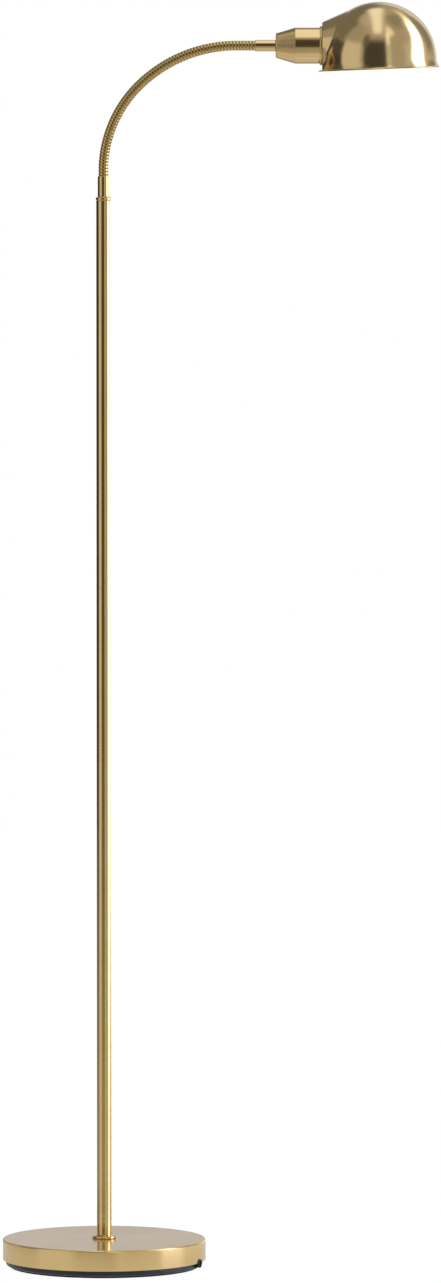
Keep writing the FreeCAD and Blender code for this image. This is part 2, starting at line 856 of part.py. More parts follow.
def main():
    os.makedirs("parts", exist_ok=True)
    shapes = {name: make() for name, make in PIECES.items()}
    for index in range(pole_sections):
        shapes[f"pole_section_{index + 1}"] = pole_section(index)
    for index in range(neck_joints + 1):
        shapes[f"neck_link_{index:02d}"] = neck_link(index)
    for name, shape in shapes.items():
        shape.exportStep(f"parts/{name}.step")
        print(name, len(shape.Solids), "solids", round(shape.Volume, 1), "mm3", shape.isValid())


main()
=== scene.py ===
"""A brass reading lamp on a bending ribbed neck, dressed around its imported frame.

Lengths are in metres and angles in radians, unless a name says otherwise.
"""

import json
import logging
import math
from collections.abc import Mapping, Sequence
from dataclasses import dataclass
from enum import Enum

import bpy
import numpy as np
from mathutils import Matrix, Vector

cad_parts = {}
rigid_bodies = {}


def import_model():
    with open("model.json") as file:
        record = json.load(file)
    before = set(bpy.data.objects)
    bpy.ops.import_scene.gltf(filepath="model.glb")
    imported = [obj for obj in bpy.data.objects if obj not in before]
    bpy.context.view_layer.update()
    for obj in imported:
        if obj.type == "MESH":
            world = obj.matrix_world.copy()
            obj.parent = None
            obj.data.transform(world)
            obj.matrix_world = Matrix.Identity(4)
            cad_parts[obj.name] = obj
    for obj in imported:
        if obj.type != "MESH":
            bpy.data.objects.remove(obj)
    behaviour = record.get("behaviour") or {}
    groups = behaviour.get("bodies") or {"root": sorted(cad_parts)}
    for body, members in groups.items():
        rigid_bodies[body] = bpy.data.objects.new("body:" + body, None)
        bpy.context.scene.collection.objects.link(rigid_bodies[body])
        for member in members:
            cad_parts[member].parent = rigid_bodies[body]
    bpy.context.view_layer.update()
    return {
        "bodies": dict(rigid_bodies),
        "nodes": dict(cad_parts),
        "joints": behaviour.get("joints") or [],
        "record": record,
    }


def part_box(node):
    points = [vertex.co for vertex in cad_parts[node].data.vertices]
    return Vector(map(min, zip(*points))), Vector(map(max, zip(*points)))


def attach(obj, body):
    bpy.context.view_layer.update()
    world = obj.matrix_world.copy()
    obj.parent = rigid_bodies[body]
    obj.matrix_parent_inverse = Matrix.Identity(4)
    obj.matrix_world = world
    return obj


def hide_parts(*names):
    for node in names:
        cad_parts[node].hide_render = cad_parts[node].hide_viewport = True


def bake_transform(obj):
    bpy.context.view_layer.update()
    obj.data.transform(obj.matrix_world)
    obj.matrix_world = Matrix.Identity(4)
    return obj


LOG = logging.getLogger("lamp")
FULL_TURN = 2 * math.pi
HALF_TURN_DEG = 180.0
DEGREES = HALF_TURN_DEG / math.pi
RIGHT_ANGLE_DEG = 90.0
WHITE = (1.0, 1.0, 1.0, 1.0)
BUMP_DISTANCE = 0.001
NOISE_MIDDLE = 0.5

Colour = tuple[float, float, float, float]


def grey(level: float) -> Colour:
    """A neutral colour of that level."""
    return (level, level, level, 1.0)


# ---------------------------------------------------------------- shader maths


class Signal:
    """One output socket, which takes part in Python expressions of numbers."""

    def __init__(self, sheet: "NodeSheet", socket: bpy.types.NodeSocket) -> None:
        """Keeps the sheet that the socket belongs to."""
        self.sheet = sheet
        self.socket = socket

    def _math(self, operation: str, *values: "Signal | float") -> "Signal":
        """Adds one Math node over the values and returns its result."""
        inputs = dict(enumerate(values))
        return self.sheet.add("ShaderNodeMath", {"operation": operation}, inputs)

    def __add__(self, other: "Signal | float") -> "Signal":
        """Sum of two numbers."""
        return self._math("ADD", self, other)

    __radd__ = __add__

    def __sub__(self, other: "Signal | float") -> "Signal":
        """Difference of two numbers."""
        return self._math("SUBTRACT", self, other)

    def __rsub__(self, other: float) -> "Signal":
        """Difference with the plain number first."""
        return self._math("SUBTRACT", other, self)

    def __mul__(self, other: "Signal | float") -> "Signal":
        """Product of two numbers."""
        return self._math("MULTIPLY", self, other)

    __rmul__ = __mul__

    def __truediv__(self, other: "Signal | float") -> "Signal":
        """Quotient of two numbers."""
        return self._math("DIVIDE", self, other)

    def __rtruediv__(self, other: float) -> "Signal":
        """Quotient with the plain number first."""
        return self._math("DIVIDE", other, self)

    def __pow__(self, other: float) -> "Signal":
        """The number raised to a plain power."""
        return self._math("POWER", self, other)

    def root(self) -> "Signal":
        """Square root of the number."""
        return self._math("SQRT", self)

    def size(self) -> "Signal":
        """The number without its sign."""
        return self._math("ABSOLUTE", self)

    def arcsine_deg(self) -> "Signal":
        """The angle with this sine, in degrees."""
        return self._math("ARCSINE", self) * DEGREES

    def bearing_deg(self, other: "Signal") -> "Signal":
        """The angle of the point (other, self) about the origin, in degrees."""
        return self._math("ARCTAN2", self, other) * DEGREES

    def wrapped(self, limit: float) -> "Signal":
        """The number brought between -limit and limit by whole turns of twice the limit."""
        return self._math("WRAP", self, limit, -limit)

    def step(self, low: float, high: float) -> "Signal":
        """Smooth rise from 0 at low to 1 at high."""
        return self.sheet.add(
            "ShaderNodeMapRange",
            {"interpolation_type": "SMOOTHSTEP"},
            {"Value": self, "From Min": low, "From Max": high},
        )


class NodeSheet:
    """A node tree that one method fills."""

    def __init__(self, tree: bpy.types.NodeTree) -> None:
        """Empties the tree."""
        self.tree = tree
        tree.nodes.clear()

    def add(
        self,
        kind: str,
        settings: Mapping | None = None,
        inputs: Mapping | None = None,
        output: int | str = 0,
    ) -> Signal | None:
        """Adds any node.

        Args:
            kind: The node's type name.
            settings: Its properties, set before its sockets.
            inputs: Values or signals by the input's name or number.
            output: The output to return, by name or number.

        Returns:
            The chosen output as a signal, or None for a node that has no outputs.
        """
        node = self.tree.nodes.new(kind)
        for key, value in (settings or {}).items():
            setattr(node, key, value)
        for key, value in (inputs or {}).items():
            socket = node.inputs[key]
            if isinstance(value, Signal):
                self.tree.links.new(value.socket, socket)
            else:
                socket.default_value = value
        return Signal(self, node.outputs[output]) if len(node.outputs) else None

    def parts(self, place: Signal) -> tuple[Signal, Signal, Signal]:
        """The x, y and z of a place or a direction."""
        inputs = {"Vector": place}
        return tuple(self.add("ShaderNodeSeparateXYZ", None, inputs, axis) for axis in "XYZ")

    def ray(self, kind: str) -> Signal:
        """1 for a ray of this kind, such as Camera, and 0 for any other."""
        return self.add("ShaderNodeLightPath", output=f"Is {kind} Ray")

    def mix(self, share: Signal | float, a: Signal | Colour, b: Signal | Colour) -> Signal:
        """Colour a where share is 0 and colour b where it is 1."""
        return self.add("ShaderNodeMix", {"data_type": "RGBA"}, {0: share, 6: a, 7: b}, 2)

    def noise(self, place: Signal, scale: float, detail: float = 2.0) -> Signal:
        """Smooth noise about 0.5 with that many bumps to a metre."""
        inputs = {"Vector": place, "Scale": scale, "Detail": detail}
        return self.add("ShaderNodeTexNoise", None, inputs)

    def lines(self, place: Signal, scale: float) -> Signal:
        """Noise along one number alone, which draws fine parallel lines."""
        inputs = {"W": place, "Scale": scale, "Detail": 3.0}
        return self.add("ShaderNodeTexNoise", {"noise_dimensions": "1D"}, inputs)


class Grain(Enum):
    """The way in which a piece was polished, which sets how its fine lines run."""

    UPRIGHT = "in circles one above the other, round an upright axis"
    LYING = "in circles side by side, round an axis along x"
    DISC = "in rings one inside the other, round an upright axis"


@dataclass(frozen=True)
class Finish:
    """A finish by name; subclasses say how it is made."""

    name: str

    def paint(self, sheet: NodeSheet) -> Signal:
        """Fills the sheet and returns the surface shader."""
        raise NotImplementedError

    @staticmethod
    def shader(sheet: NodeSheet, inputs: Mapping, skin: Signal, depth: float) -> Signal:
        """Adds the surface shader over a bumpy skin.

        Args:
            sheet: The material's node sheet.
            inputs: Values or signals of the shader's own inputs.
            skin: The skin's height, as a number.
            depth: How strongly the skin shows.

        Returns:
            The shader.
        """
        skin_inputs = {"Strength": depth, "Distance": BUMP_DISTANCE, "Height": skin}
        bump = sheet.add("ShaderNodeBump", None, skin_inputs)
        return sheet.add("ShaderNodeBsdfPrincipled", None, {**inputs, "Normal": bump})

    def material(self) -> bpy.types.Material:
        """Returns the finish as a material, made once."""
        made = bpy.data.materials.get(self.name)
        if made is None:
            made = bpy.data.materials.new(self.name)
            made.use_nodes = True
            sheet = NodeSheet(made.node_tree)
            sheet.add("ShaderNodeOutputMaterial", None, {"Surface": self.paint(sheet)})
        return made


@dataclass(frozen=True)
class Brass(Finish):
    """Lacquered brass, polished on a lathe: fine turning lines, faint clouds and small spots."""

    grain: Grain = Grain.UPRIGHT
    tint: Colour = (0.83, 0.60, 0.265, 1.0)
    deep_tint: Colour = (0.78, 0.54, 0.22, 1.0)
    roughness: float = 0.12
    line_depth: float = 0.04
    metallic: float = 1.0
    # With this set, the grooves found from the crest attribute get painted shade and more
    # roughness.
    shades_grooves: bool = False
    # A dark brown for the small random spots and for the painted shade in the neck's grooves.
    spot_and_groove_shade_tint: Colour = (0.19, 0.095, 0.025, 1.0)

    LINES_PER_METRE = 1400.0
    CLOUDS_PER_METRE = 14.0
    CLOUD_DETAIL = 4.0
    SPOTS_PER_METRE = 210.0
    WEAR_EDGE = (0.35, 0.75)
    SPOT_EDGE = (0.70, 0.80)
    CREST_EDGE = (0.1, 0.85)
    WEAR_TINT = 0.8
    SPOT_TINT = 0.25
    # How strongly the painted shade darkens the grooves.
    GROOVE_SHADE_SHARE = 0.92
    CLOUD_GLOSS = 0.05
    LINE_GLOSS = 0.04
    SPOT_GLOSS = 0.1
    HOLLOW_GLOSS = 0.3

    def _along(self, sheet: NodeSheet, place: Signal) -> Signal:
        """Returns the number that changes across the turning lines."""
        x, y, z = sheet.parts(place)
        if self.grain is Grain.LYING:
            return x
        if self.grain is Grain.DISC:
            return (x * x + y * y).root()
        return z

    def paint(self, sheet: NodeSheet) -> Signal:
        """Metal whose colour and gloss drift with clouds, lines and spots, with painted shade in
        the grooves when it shades grooves.
        """
        place = sheet.add("ShaderNodeTexCoord", output="Object")
        clouds = sheet.noise(place, self.CLOUDS_PER_METRE, self.CLOUD_DETAIL)
        lines = sheet.lines(self._along(sheet, place), self.LINES_PER_METRE)
        spots = sheet.noise(place, self.SPOTS_PER_METRE).step(*self.SPOT_EDGE)
        wear = clouds.step(*self.WEAR_EDGE)
        colour = sheet.mix(wear * self.WEAR_TINT, self.tint, self.deep_tint)
        colour = sheet.mix(spots * self.SPOT_TINT, colour, self.spot_and_groove_shade_tint)
        gloss = self.roughness + (clouds - NOISE_MIDDLE) * self.CLOUD_GLOSS
        gloss = gloss + (lines - NOISE_MIDDLE) * self.LINE_GLOSS + spots * self.SPOT_GLOSS
        # Painted shade: where the crest attribute is low, in the grooves, the colour goes nearly
        # all the way to the dark brown.
        if self.shades_grooves:
            crest = sheet.add("ShaderNodeAttribute", {"attribute_name": "crest"}, output="Fac")
            hollow = 1 - crest.step(*self.CREST_EDGE)
            colour = sheet.mix(hollow * self.GROOVE_SHADE_SHARE, colour, self.spot_and_groove_shade_tint)
            gloss = gloss + hollow * self.HOLLOW_GLOSS
        inputs = {"Base Color": colour, "Metallic": self.metallic, "Roughness": gloss}
        return self.shader(sheet, inputs, lines, self.line_depth)


@dataclass(frozen=True)
class Solid(Finish):
    """A plain stuff with clouds of a second tint and a fine skin."""

    tint: Colour = (0.02, 0.02, 0.02, 1.0)
    second_tint: Colour = (0.03, 0.03, 0.03, 1.0)
    roughness: float = 0.5
    metallic: float = 0.0
    coat: float = 0.0
    skin_per_metre: float = 900.0
    skin_depth: float = 0.2

    CLOUDS_PER_METRE = 40.0
    CLOUD_DETAIL = 3.0
    CLOUD_EDGE = (0.35, 0.65)
    CLOUD_GLOSS = 0.1

    def paint(self, sheet: NodeSheet) -> Signal:
        """Two tints in soft clouds under a fine bumpy skin."""
        place = sheet.add("ShaderNodeTexCoord", output="Object")
        clouds = sheet.noise(place, self.CLOUDS_PER_METRE, self.CLOUD_DETAIL)
        skin = sheet.noise(place, self.skin_per_metre)
        share = clouds.step(*self.CLOUD_EDGE)
        inputs = {
            "Base Color": sheet.mix(share, self.tint, self.second_tint),
            "Metallic": self.metallic,
            "Roughness": self.roughness + (clouds - NOISE_MIDDLE) * self.CLOUD_GLOSS,
            "Coat Weight": self.coat,
        }
        return self.shader(sheet, inputs, skin, self.skin_depth)


POLE_BRASS = Brass("polished_brass_upright", Grain.UPRIGHT)
COVER_BRASS = Brass("polished_brass_cover", Grain.DISC, roughness=0.17, metallic=0.72)
CUP_BRASS = Brass("polished_brass_cup", Grain.LYING, tint=(0.83, 0.61, 0.29, 1.0))
SHADE_BRASS = Brass(
    "spun_brass_shade",
    Grain.UPRIGHT,
    tint=(0.83, 0.615, 0.305, 1.0),
    deep_tint=(0.79, 0.57, 0.265, 1.0),
    roughness=0.14,
)
NECK_BRASS = Brass(
    "wound_brass_neck",
    Grain.UPRIGHT,
    tint=(0.72, 0.50, 0.19, 1.0),
    deep_tint=(0.66, 0.44, 0.15, 1.0),
    roughness=0.17,
    line_depth=0.0,
    shades_grooves=True,
)
INNER_BRASS = Brass("plain_brass", Grain.UPRIGHT, roughness=0.3)
PLATED_STEEL = Solid(
    "zinc_plated_steel",
    tint=(0.55, 0.56, 0.57, 1.0),
    second_tint=(0.45, 0.46, 0.48, 1.0),
    roughness=0.3,
    metallic=1.0,
    skin_per_metre=1500.0,
    skin_depth=0.1,
)
BLACK_IRON = Solid(
    "black_cast_foot",
    tint=(0.012, 0.014, 0.021, 1.0),
    second_tint=(0.018, 0.02, 0.028, 1.0),
    roughness=0.42,
    coat=0.15,
    skin_per_metre=700.0,
    skin_depth=0.25,
)
BLACK_RUBBER = Solid(
    "black_rubber",
    tint=(0.012, 0.012, 0.012, 1.0),
    second_tint=(0.022, 0.022, 0.021, 1.0),
    roughness=0.8,
    skin_per_metre=1800.0,
    skin_depth=0.3,
)
BLACK_MOULDING = Solid(
    "black_moulding",
    tint=(0.014, 0.013, 0.012, 1.0),
    second_tint=(0.02, 0.019, 0.018, 1.0),
    roughness=0.35,
    skin_per_metre=1200.0,
    skin_depth=0.1,
)
OPAL_GLASS = Solid(
    "opal_glass",
    tint=(0.86, 0.85, 0.81, 1.0),
    second_tint=(0.82, 0.81, 0.78, 1.0),
    roughness=0.12,
    coat=0.3,
    skin_per_metre=300.0,
    skin_depth=0.02,
)
BLACK_GLASS = Solid(
    "black_glass",
    tint=(0.01, 0.01, 0.012, 1.0),
    second_tint=(0.015, 0.015, 0.018, 1.0),
    roughness=0.1,
    skin_per_metre=300.0,
    skin_depth=0.02,
)

CARRIED: Mapping[str, Finish] = {
    "floor_pad": BLACK_RUBBER,
    "base_weight": BLACK_IRON,
    "base_cover": COVER_BRASS,
    "inlet_grommet": BLACK_RUBBER,
    "foot_nipple": PLATED_STEEL,
    "foot_washers": PLATED_STEEL,
    "foot_nut": PLATED_STEEL,
    "pole_section_1": POLE_BRASS,
    "pole_section_2": POLE_BRASS,
    "pole_section_3": POLE_BRASS,
    "pole_inserts": INNER_BRASS,
    "pole_studs": PLATED_STEEL,
    "pole_cap": POLE_BRASS,
    "lower_ferrule": POLE_BRASS,
    "upper_ferrule": CUP_BRASS,
    "socket_cup": CUP_BRASS,
    "cup_washer": PLATED_STEEL,
    "cup_nut": PLATED_STEEL,
    "holder_cap": BLACK_MOULDING,
    "holder_body": BLACK_MOULDING,
    "terminal_block": BLACK_MOULDING,
    "terminal_screws": PLATED_STEEL,
    "screw_shell": INNER_BRASS,
    "holder_contacts": INNER_BRASS,
    "disc_ring": CUP_BRASS,
    "clamp_ring": BLACK_MOULDING,
    "bulb_globe": OPAL_GLASS,
    "bulb_cap": PLATED_STEEL,
    "bulb_insulator": BLACK_GLASS,
    "bulb_contact": PLATED_STEEL,
    "shade": SHADE_BRASS,
}


# ------------------------------------------------------------------- surfaces


def signed_volume(points: np.ndarray, quads: np.ndarray) -> float:
    """Volume inside closed quads, as the sum of tetrahedra from the origin; below 0 inside out."""
    a, b, c, d = (points[quads[:, k]] for k in range(4))
    both = np.cross(a, b) * c + np.cross(a, c) * d
    return float(both.sum()) / 6


def add_object(name: str, mesh: bpy.types.Mesh) -> bpy.types.Object:
    """Puts a new object with this mesh into the scene, at the origin and unturned."""
    made = bpy.data.objects.new(name, mesh)
    bpy.context.scene.collection.objects.link(made)
    return made


def mesh_object(
    name: str, points: np.ndarray, quads: np.ndarray, crease_deg: float
) -> bpy.types.Object:
    """Makes a closed, smooth-shaded mesh whose faces point outwards.

    Args:
        name: The piece's name.
        points: One row of x, y and z per vertex.
        quads: One row of four vertex numbers per face.
        crease_deg: Edges that turn by more than this stay sharp.

    Returns:
        The new object, at the origin and unturned.
    """
    if signed_volume(points, quads) < 0:
        quads = quads[:, ::-1]
    mesh = bpy.data.meshes.new(name)
    mesh.from_pydata(points.tolist(), [], quads.tolist())
    mesh.polygons.foreach_set("use_smooth", np.ones(len(quads), dtype=bool))
    mesh.set_sharp_from_angle(angle=math.radians(crease_deg))
    mesh.update()
    return add_object(name, mesh)


def ball_object(
    name: str, centre: np.ndarray, radius: float, rows: int, columns: int
) -> bpy.types.Object:
    """Makes a smooth ball out of circles, closed at each pole by a fan of triangles.

    The point at angle a from the upper pole and angle b round the axis is the centre plus the
    radius times (sin a cos b, sin a sin b, cos a).

    Args:
        name: The piece's name.
        centre: The ball's middle.
        radius: Its radius.
        rows: Steps from pole to pole.
        columns: Steps round the axis.

    Returns:
        The new object, at the origin and unturned.
    """
    a = np.linspace(0, math.pi, rows + 1)[1:-1, None]
    b = np.linspace(0, FULL_TURN, columns, endpoint=False)[None, :]
    circles = np.stack([np.sin(a) * np.cos(b), np.sin(a) * np.sin(b), np.cos(a) + 0 * b], -1)
    poles = np.array([[0.0, 0.0, 1.0], [0.0, 0.0, -1.0]])
    points = centre + radius * np.concatenate([circles.reshape(-1, 3), poles])
    here, there = np.arange(columns), (np.arange(columns) + 1) % columns
    upper = columns * np.arange(rows - 2)[:, None]
    lower = upper + columns
    corners = [upper + here, lower + here, lower + there, upper + there]
    quads = np.stack([corner.ravel() for corner in corners], 1)
    last, top, bottom = lower[-1], (rows - 1) * columns, (rows - 1) * columns + 1
    top_fan = np.stack([np.full(columns, top), here, there], 1)
    bottom_fan = np.stack([last + there, last + here, np.full(columns, bottom)], 1)
    mesh = bpy.data.meshes.new(name)
    faces = quads.tolist() + top_fan.tolist() + bottom_fan.tolist()
    mesh.from_pydata(points.tolist(), [], faces)
    mesh.shade_smooth()
    return add_object(name, mesh)


# ----------------------------------------------------------------- gooseneck


@dataclass(frozen=True)
class Run:
    """One run of the neck's centre line: straight, or an arc of that radius."""

    length: float
    radius: float | None = None


def arc_run(radius: float, turn_deg: float) -> Run:
    """Returns an arc that turns by so many degrees."""
    return Run(radius * math.radians(turn_deg), radius)


@dataclass
class Gooseneck:
    """The ribbed neck: one wire wound along the centre line, in a piece for each joint.

    Joints are counted from 0 at the neck's foot, and places along the neck in ribs from there.
    """

    foot_z: float = 1.2086
    runs: Sequence[Run] = (
        Run(0.0063),
        arc_run(0.1307, 45.0),
        arc_run(0.1529, 45.0),
        Run(0.0204),
    )
    crest_radius: float = 0.0054
    groove_radius: float = 0.0049
    bore_radius: float = 0.0029
    crest_power: float = 5.0
    rib_count: int = 70
    first_joint: float = 2.0
    joint_spacing: float = 6.0
    hidden_ribs: float = 0.5
    stiff_ribs: float = 0.5
    split_joint: int = 6
    ball_radius: float = 0.0048
    ball_rows: int = 24
    steps_round: int = 48
    steps_across: int = 10
    crease_deg: float = 40.0

    @property
    def length(self) -> float:
        """The centre line's length."""
        return sum(run.length for run in self.runs)

    @property
    def pitch(self) -> float:
        """The distance from rib to rib."""
        return self.length / self.rib_count

    def line(self, along: np.ndarray) -> tuple[np.ndarray, np.ndarray]:
        """Follows the centre line.

        A run adds its own step: a straight one t along the heading, an arc of radius r the
        chord from its start to the heading turned by t / r.

        Args:
            along: Distances from the neck's foot.

        Returns:
            The points, and the heading's angle from +Z towards +X.
        """
        centre = np.zeros(along.shape + (3,))
        centre[..., 2] = self.foot_z
        heading = np.zeros_like(along)
        start, base = 0.0, 0.0
        for number, run in enumerate(self.runs):
            low = -np.inf if number == 0 else 0.0
            high = np.inf if number == len(self.runs) - 1 else run.length
            t = np.clip(along - start, low, high)
            if run.radius is None:
                centre[..., 0] += t * math.sin(base)
                centre[..., 2] += t * math.cos(base)
            else:
                turned = base + t / run.radius
                centre[..., 0] += run.radius * (math.cos(base) - np.cos(turned))
                centre[..., 2] += run.radius * (np.sin(turned) - math.sin(base))
                heading += t / run.radius
                base += run.length / run.radius
            start += run.length
        return centre, heading

    def _wall(self, turns: np.ndarray, across: np.ndarray, radius: np.ndarray) -> np.ndarray:
        """Points of a wound strip.

        A point at turn u and share q across the rib lies (u + q) pitches along the line, at
        the angle 2 pi u round it and at its radius from it.

        Args:
            turns: Each point's turn u.
            across: Each point's share q across the rib, from -1/2 to 1/2.
            radius: Each point's distance from the line.

        Returns:
            One row of x, y and z per point.
        """
        centre, heading = self.line((turns + across) * self.pitch)
        angle = FULL_TURN * turns
        side = np.stack([np.cos(heading), np.zeros_like(heading), -np.sin(heading)], -1)
        out = np.cos(angle)[..., None] * side
        out[..., 1] += np.sin(angle)
        return centre + radius[..., None] * out

    def section(self, name: str, first: float, last: float) -> bpy.types.Object:
        """Makes the windings from turn first to turn last as one closed piece.

        The rib's crest is a low arch: at share q = sin(t) / 2 across it stands 1 - |sin t|^p high.
        The next winding shares its edge with this one, and the bore's wall is wound the same way.

        Args:
            name: The piece's name.
            first: The turn at which it starts.
            last: The turn at which it ends.

        Returns:
            The new object; its attribute crest is 1 on the crests and 0 in the grooves.
        """
        m, n = self.steps_round, self.steps_across
        rows = round((last - first) * m)
        t = np.linspace(-math.pi / 2, math.pi / 2, n + 1)[:n]
        turns = first + np.arange(rows + 1)[:, None] / m + 0 * t[None, :]
        across = np.sin(t)[None, :] / 2 + 0 * turns
        rise = (1 - np.abs(np.sin(t)) ** self.crest_power)[None, :] + 0 * turns
        tail_turns = first + (rows + 1 + np.arange(m)) / m
        turns = np.concatenate([turns.ravel(), tail_turns])
        across = np.concatenate([across.ravel(), np.full(m, -0.5)])
        rise = np.concatenate([rise.ravel(), np.zeros(m)])
        height = self.crest_radius - self.groove_radius
        outer = self._wall(turns, across, self.groove_radius + height * rise)
        inner = self._wall(turns, across, np.full_like(rise, self.bore_radius))
        count = len(turns)

        def number(i: np.ndarray, j: np.ndarray) -> np.ndarray:
            """Vertex number of row i and step j, where step n is step 0 one turn on."""
            i, j = np.broadcast_arrays(i, j)
            row = np.where(j == n, i + m, i)
            step = np.where(j == n, 0, j)
            tail = (rows + 1) * n + row - rows - 1
            return np.where(row <= rows, row * n + step, tail)

        i, j = np.arange(rows)[:, None], np.arange(n)[None, :]
        skin = [number(i, j), number(i, j + 1), number(i + 1, j + 1), number(i + 1, j)]
        skin = np.stack([part.ravel() for part in skin], 1)
        j, k = np.arange(n), np.arange(m)
        cuts = [
            (number(np.array(0), j + 1), number(np.array(0), j)),
            (number(k, np.array(0)), number(k + 1, np.array(0))),
            (number(np.array(rows), j), number(np.array(rows), j + 1)),
            (number(rows - m + k + 1, np.array(n)), number(rows - m + k, np.array(n))),
        ]
        ends = [np.stack([a, b, b + count, a + count], 1) for a, b in cuts]
        quads = np.concatenate([skin, skin[:, ::-1] + count, *ends])
        made = mesh_object(name, np.concatenate([outer, inner]), quads, self.crease_deg)
        crest = made.data.attributes.new("crest", "FLOAT", "POINT")
        crest.data.foreach_set("value", np.concatenate([rise, 0 * rise]).astype(np.float32))
        made.data.materials.append(NECK_BRASS.material())
        return made

    def _stand_for(self, piece: bpy.types.Object, *links: int) -> None:
        """Hides the source's links of these numbers, for which the piece stands."""
        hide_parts(*(f"neck_link_{link:02d}" for link in links))

    def seat(self, name: str, along: float) -> bpy.types.Object:
        """Makes the ball inside a split; it has no crests, so the neck's painted groove shade
        darkens it all over.
        """
        centre, _ = self.line(np.array(along * self.pitch))
        piece = ball_object(name, centre, self.ball_radius, self.ball_rows, self.steps_round)
        piece.data.materials.append(NECK_BRASS.material())
        return piece

    def split(self, number: int, joint: Mapping, cuts: tuple[float, float, float]) -> None:
        """Makes a stiff piece on each side of a joint, round a ball.

        Args:
            number: The joint's number.
            joint: Its row in the frame.
            cuts: The turns at which the pieces start, meet and end.
        """
        name = f"neck_ribs_{number + 1:02d}"
        first, middle, last = cuts
        near = self.section(name, first, middle)
        far = self.section(f"{name}_far", middle, last)
        ball = self.seat(f"{name}_ball", middle)
        sides = ((near, "parent", number), (far, "child", number + 1), (ball, "parent", number))
        for piece, body, link in sides:
            self._stand_for(piece, link)
            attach(piece, joint[body])
        LOG.info("%s is split between %s and %s", name, joint["parent"], joint["child"])

    def build(self, frame: Mapping) -> None:
        """Winds one piece across each joint, hides the links it stands for and leaves it where it
        was wound.

        The joint at split_joint has a stiff piece on each side of it instead, round a ball.
        """
        joints = frame["joints"]
        for number, joint in enumerate(joints):
            middle = self.first_joint + self.joint_spacing * number
            first = middle - self.joint_spacing / 2
            last = middle + self.joint_spacing / 2
            if number == self.split_joint:
                self.split(number, joint, (first, middle, last))
                continue
            links = [number]
            bend_start, bend_end = first + self.stiff_ribs, last - self.stiff_ribs
            if number == 0:
                first, bend_start, bend_end = -self.hidden_ribs, 0.0, 2 * middle
            if number == len(joints) - 1:
                last = self.rib_count + self.hidden_ribs
                bend_start, bend_end = 2 * middle - self.rib_count, self.rib_count
                links.append(number + 1)
            piece = self.section(f"neck_ribs_{number + 1:02d}", first, last)
            self._stand_for(piece, *links)
            ends, _ = self.line(np.array([bend_start, bend_end]) * self.pitch)
            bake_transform(piece)
            LOG.info("%s bends between %s and %s", piece.name, joint["parent"], joint["child"])


# -------------------------------------------------------------------- collar


@dataclass
class FootCollar:
    """The turned bead round the pole's foot, a little fuller than its plain solid."""

    bore_radius: float = 0.0080
    bead_height: float = 0.0030
    top_height: float = 0.0042
    edge_depth: float = 0.0017
    steps_round: int = 128
    steps_edge: int = 24
    steps_slope: int = 8
    crease_deg: float = 40.0

    def outline(self, outer_radius: float) -> np.ndarray:
        """The section's closed outline: a flat foot, a half-elliptical edge and a hollow slope.

        The edge at angle a has radius outer - depth (1 - cos a) and height h (1 + sin a) / 2. The
        slope rises with the square of its share of the way in.

        Args:
            outer_radius: The bead's greatest radius.

        Returns:
            Rows of radius and height above the base.
        """
        shoulder = outer_radius - self.edge_depth
        a = np.linspace(-math.pi / 2, math.pi / 2, self.steps_edge + 1)
        edge = np.stack(
            [shoulder + self.edge_depth * np.cos(a), self.bead_height * (1 + np.sin(a)) / 2], 1
        )
        share = np.linspace(0, 1, self.steps_slope + 1)[1:]
        rise = (self.top_height - self.bead_height) * share**2
        slope = np.stack(
            [shoulder + (self.bore_radius - shoulder) * share, self.bead_height + rise], 1
        )
        return np.concatenate([[[self.bore_radius, 0.0]], edge, slope])

    def build(self, frame: Mapping) -> None:
        """Turns the outline about the pole's axis: each row is one outline point's circle."""
        low, high = (Vector(corner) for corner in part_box("foot_collar"))
        outline = self.outline((high.x - low.x) / 2)
        angle = np.linspace(0, FULL_TURN, self.steps_round, endpoint=False)[None, :]
        radius, height = outline[:, :1], low.z + outline[:, 1:] + 0 * angle
        points = np.stack([radius * np.cos(angle), radius * np.sin(angle), height], -1)
        rows, columns = len(outline), self.steps_round
        i, j = np.arange(rows)[:, None], np.arange(columns)[None, :]
        corners = [(i, j), (i, j + 1), (i + 1, j + 1), (i + 1, j)]
        quads = [(a % rows * columns + b % columns + 0 * i).ravel() for a, b in corners]
        piece = mesh_object(
            "foot_collar_bead", points.reshape(-1, 3), np.stack(quads, 1), self.crease_deg
        )
        piece.data.materials.append(POLE_BRASS.material())
        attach(piece, frame["joints"][0]["parent"])
        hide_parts("foot_collar")
        LOG.info("%s stands round the pole's foot", piece.name)


# --------------------------------------------------------------------- studio


@dataclass(frozen=True)
class Card:
    """A softbox, flag or wall far off, as a patch of directions in degrees.

    Azimuth 0 is the camera's side and 90 is +X; elevation is above the horizon. Lean is how far
    the card has moved round at the elevation LEAN_AT, growing with the elevation's square.
    """

    azimuth: float
    half_width: float
    low: float
    high: float
    level: float
    soft: float = 2.0
    soft_up: float = 4.0
    lean: float = 0.0
    tint: tuple[float, float, float] = (1.0, 1.0, 1.0)

    LEAN_AT = 45.0

    @property
    def colour(self) -> Colour:
        """The card's tint at its level."""
        return tuple(self.level * part for part in self.tint) + (1.0,)

    def mask(self, azimuth: Signal, elevation: Signal) -> Signal:
        """1 on the card and 0 off it, with soft edges.

        Args:
            azimuth: The direction's bearing, in degrees.
            elevation: Its height above the horizon, in degrees.

        Returns:
            The card's share of the light from there.
        """
        middle = self.azimuth
        if self.lean:
            middle = self.azimuth + (elevation / self.LEAN_AT) ** 2.0 * self.lean
        away = (azimuth - middle).wrapped(HALF_TURN_DEG).size()
        share = 1 - away.step(self.half_width - self.soft, self.half_width + self.soft)
        half = self.soft_up / 2
        if self.low > -RIGHT_ANGLE_DEG:
            share = share * elevation.step(self.low - half, self.low + half)
        if self.high < RIGHT_ANGLE_DEG:
            share = share * (1 - elevation.step(self.high - half, self.high + half))
        return share


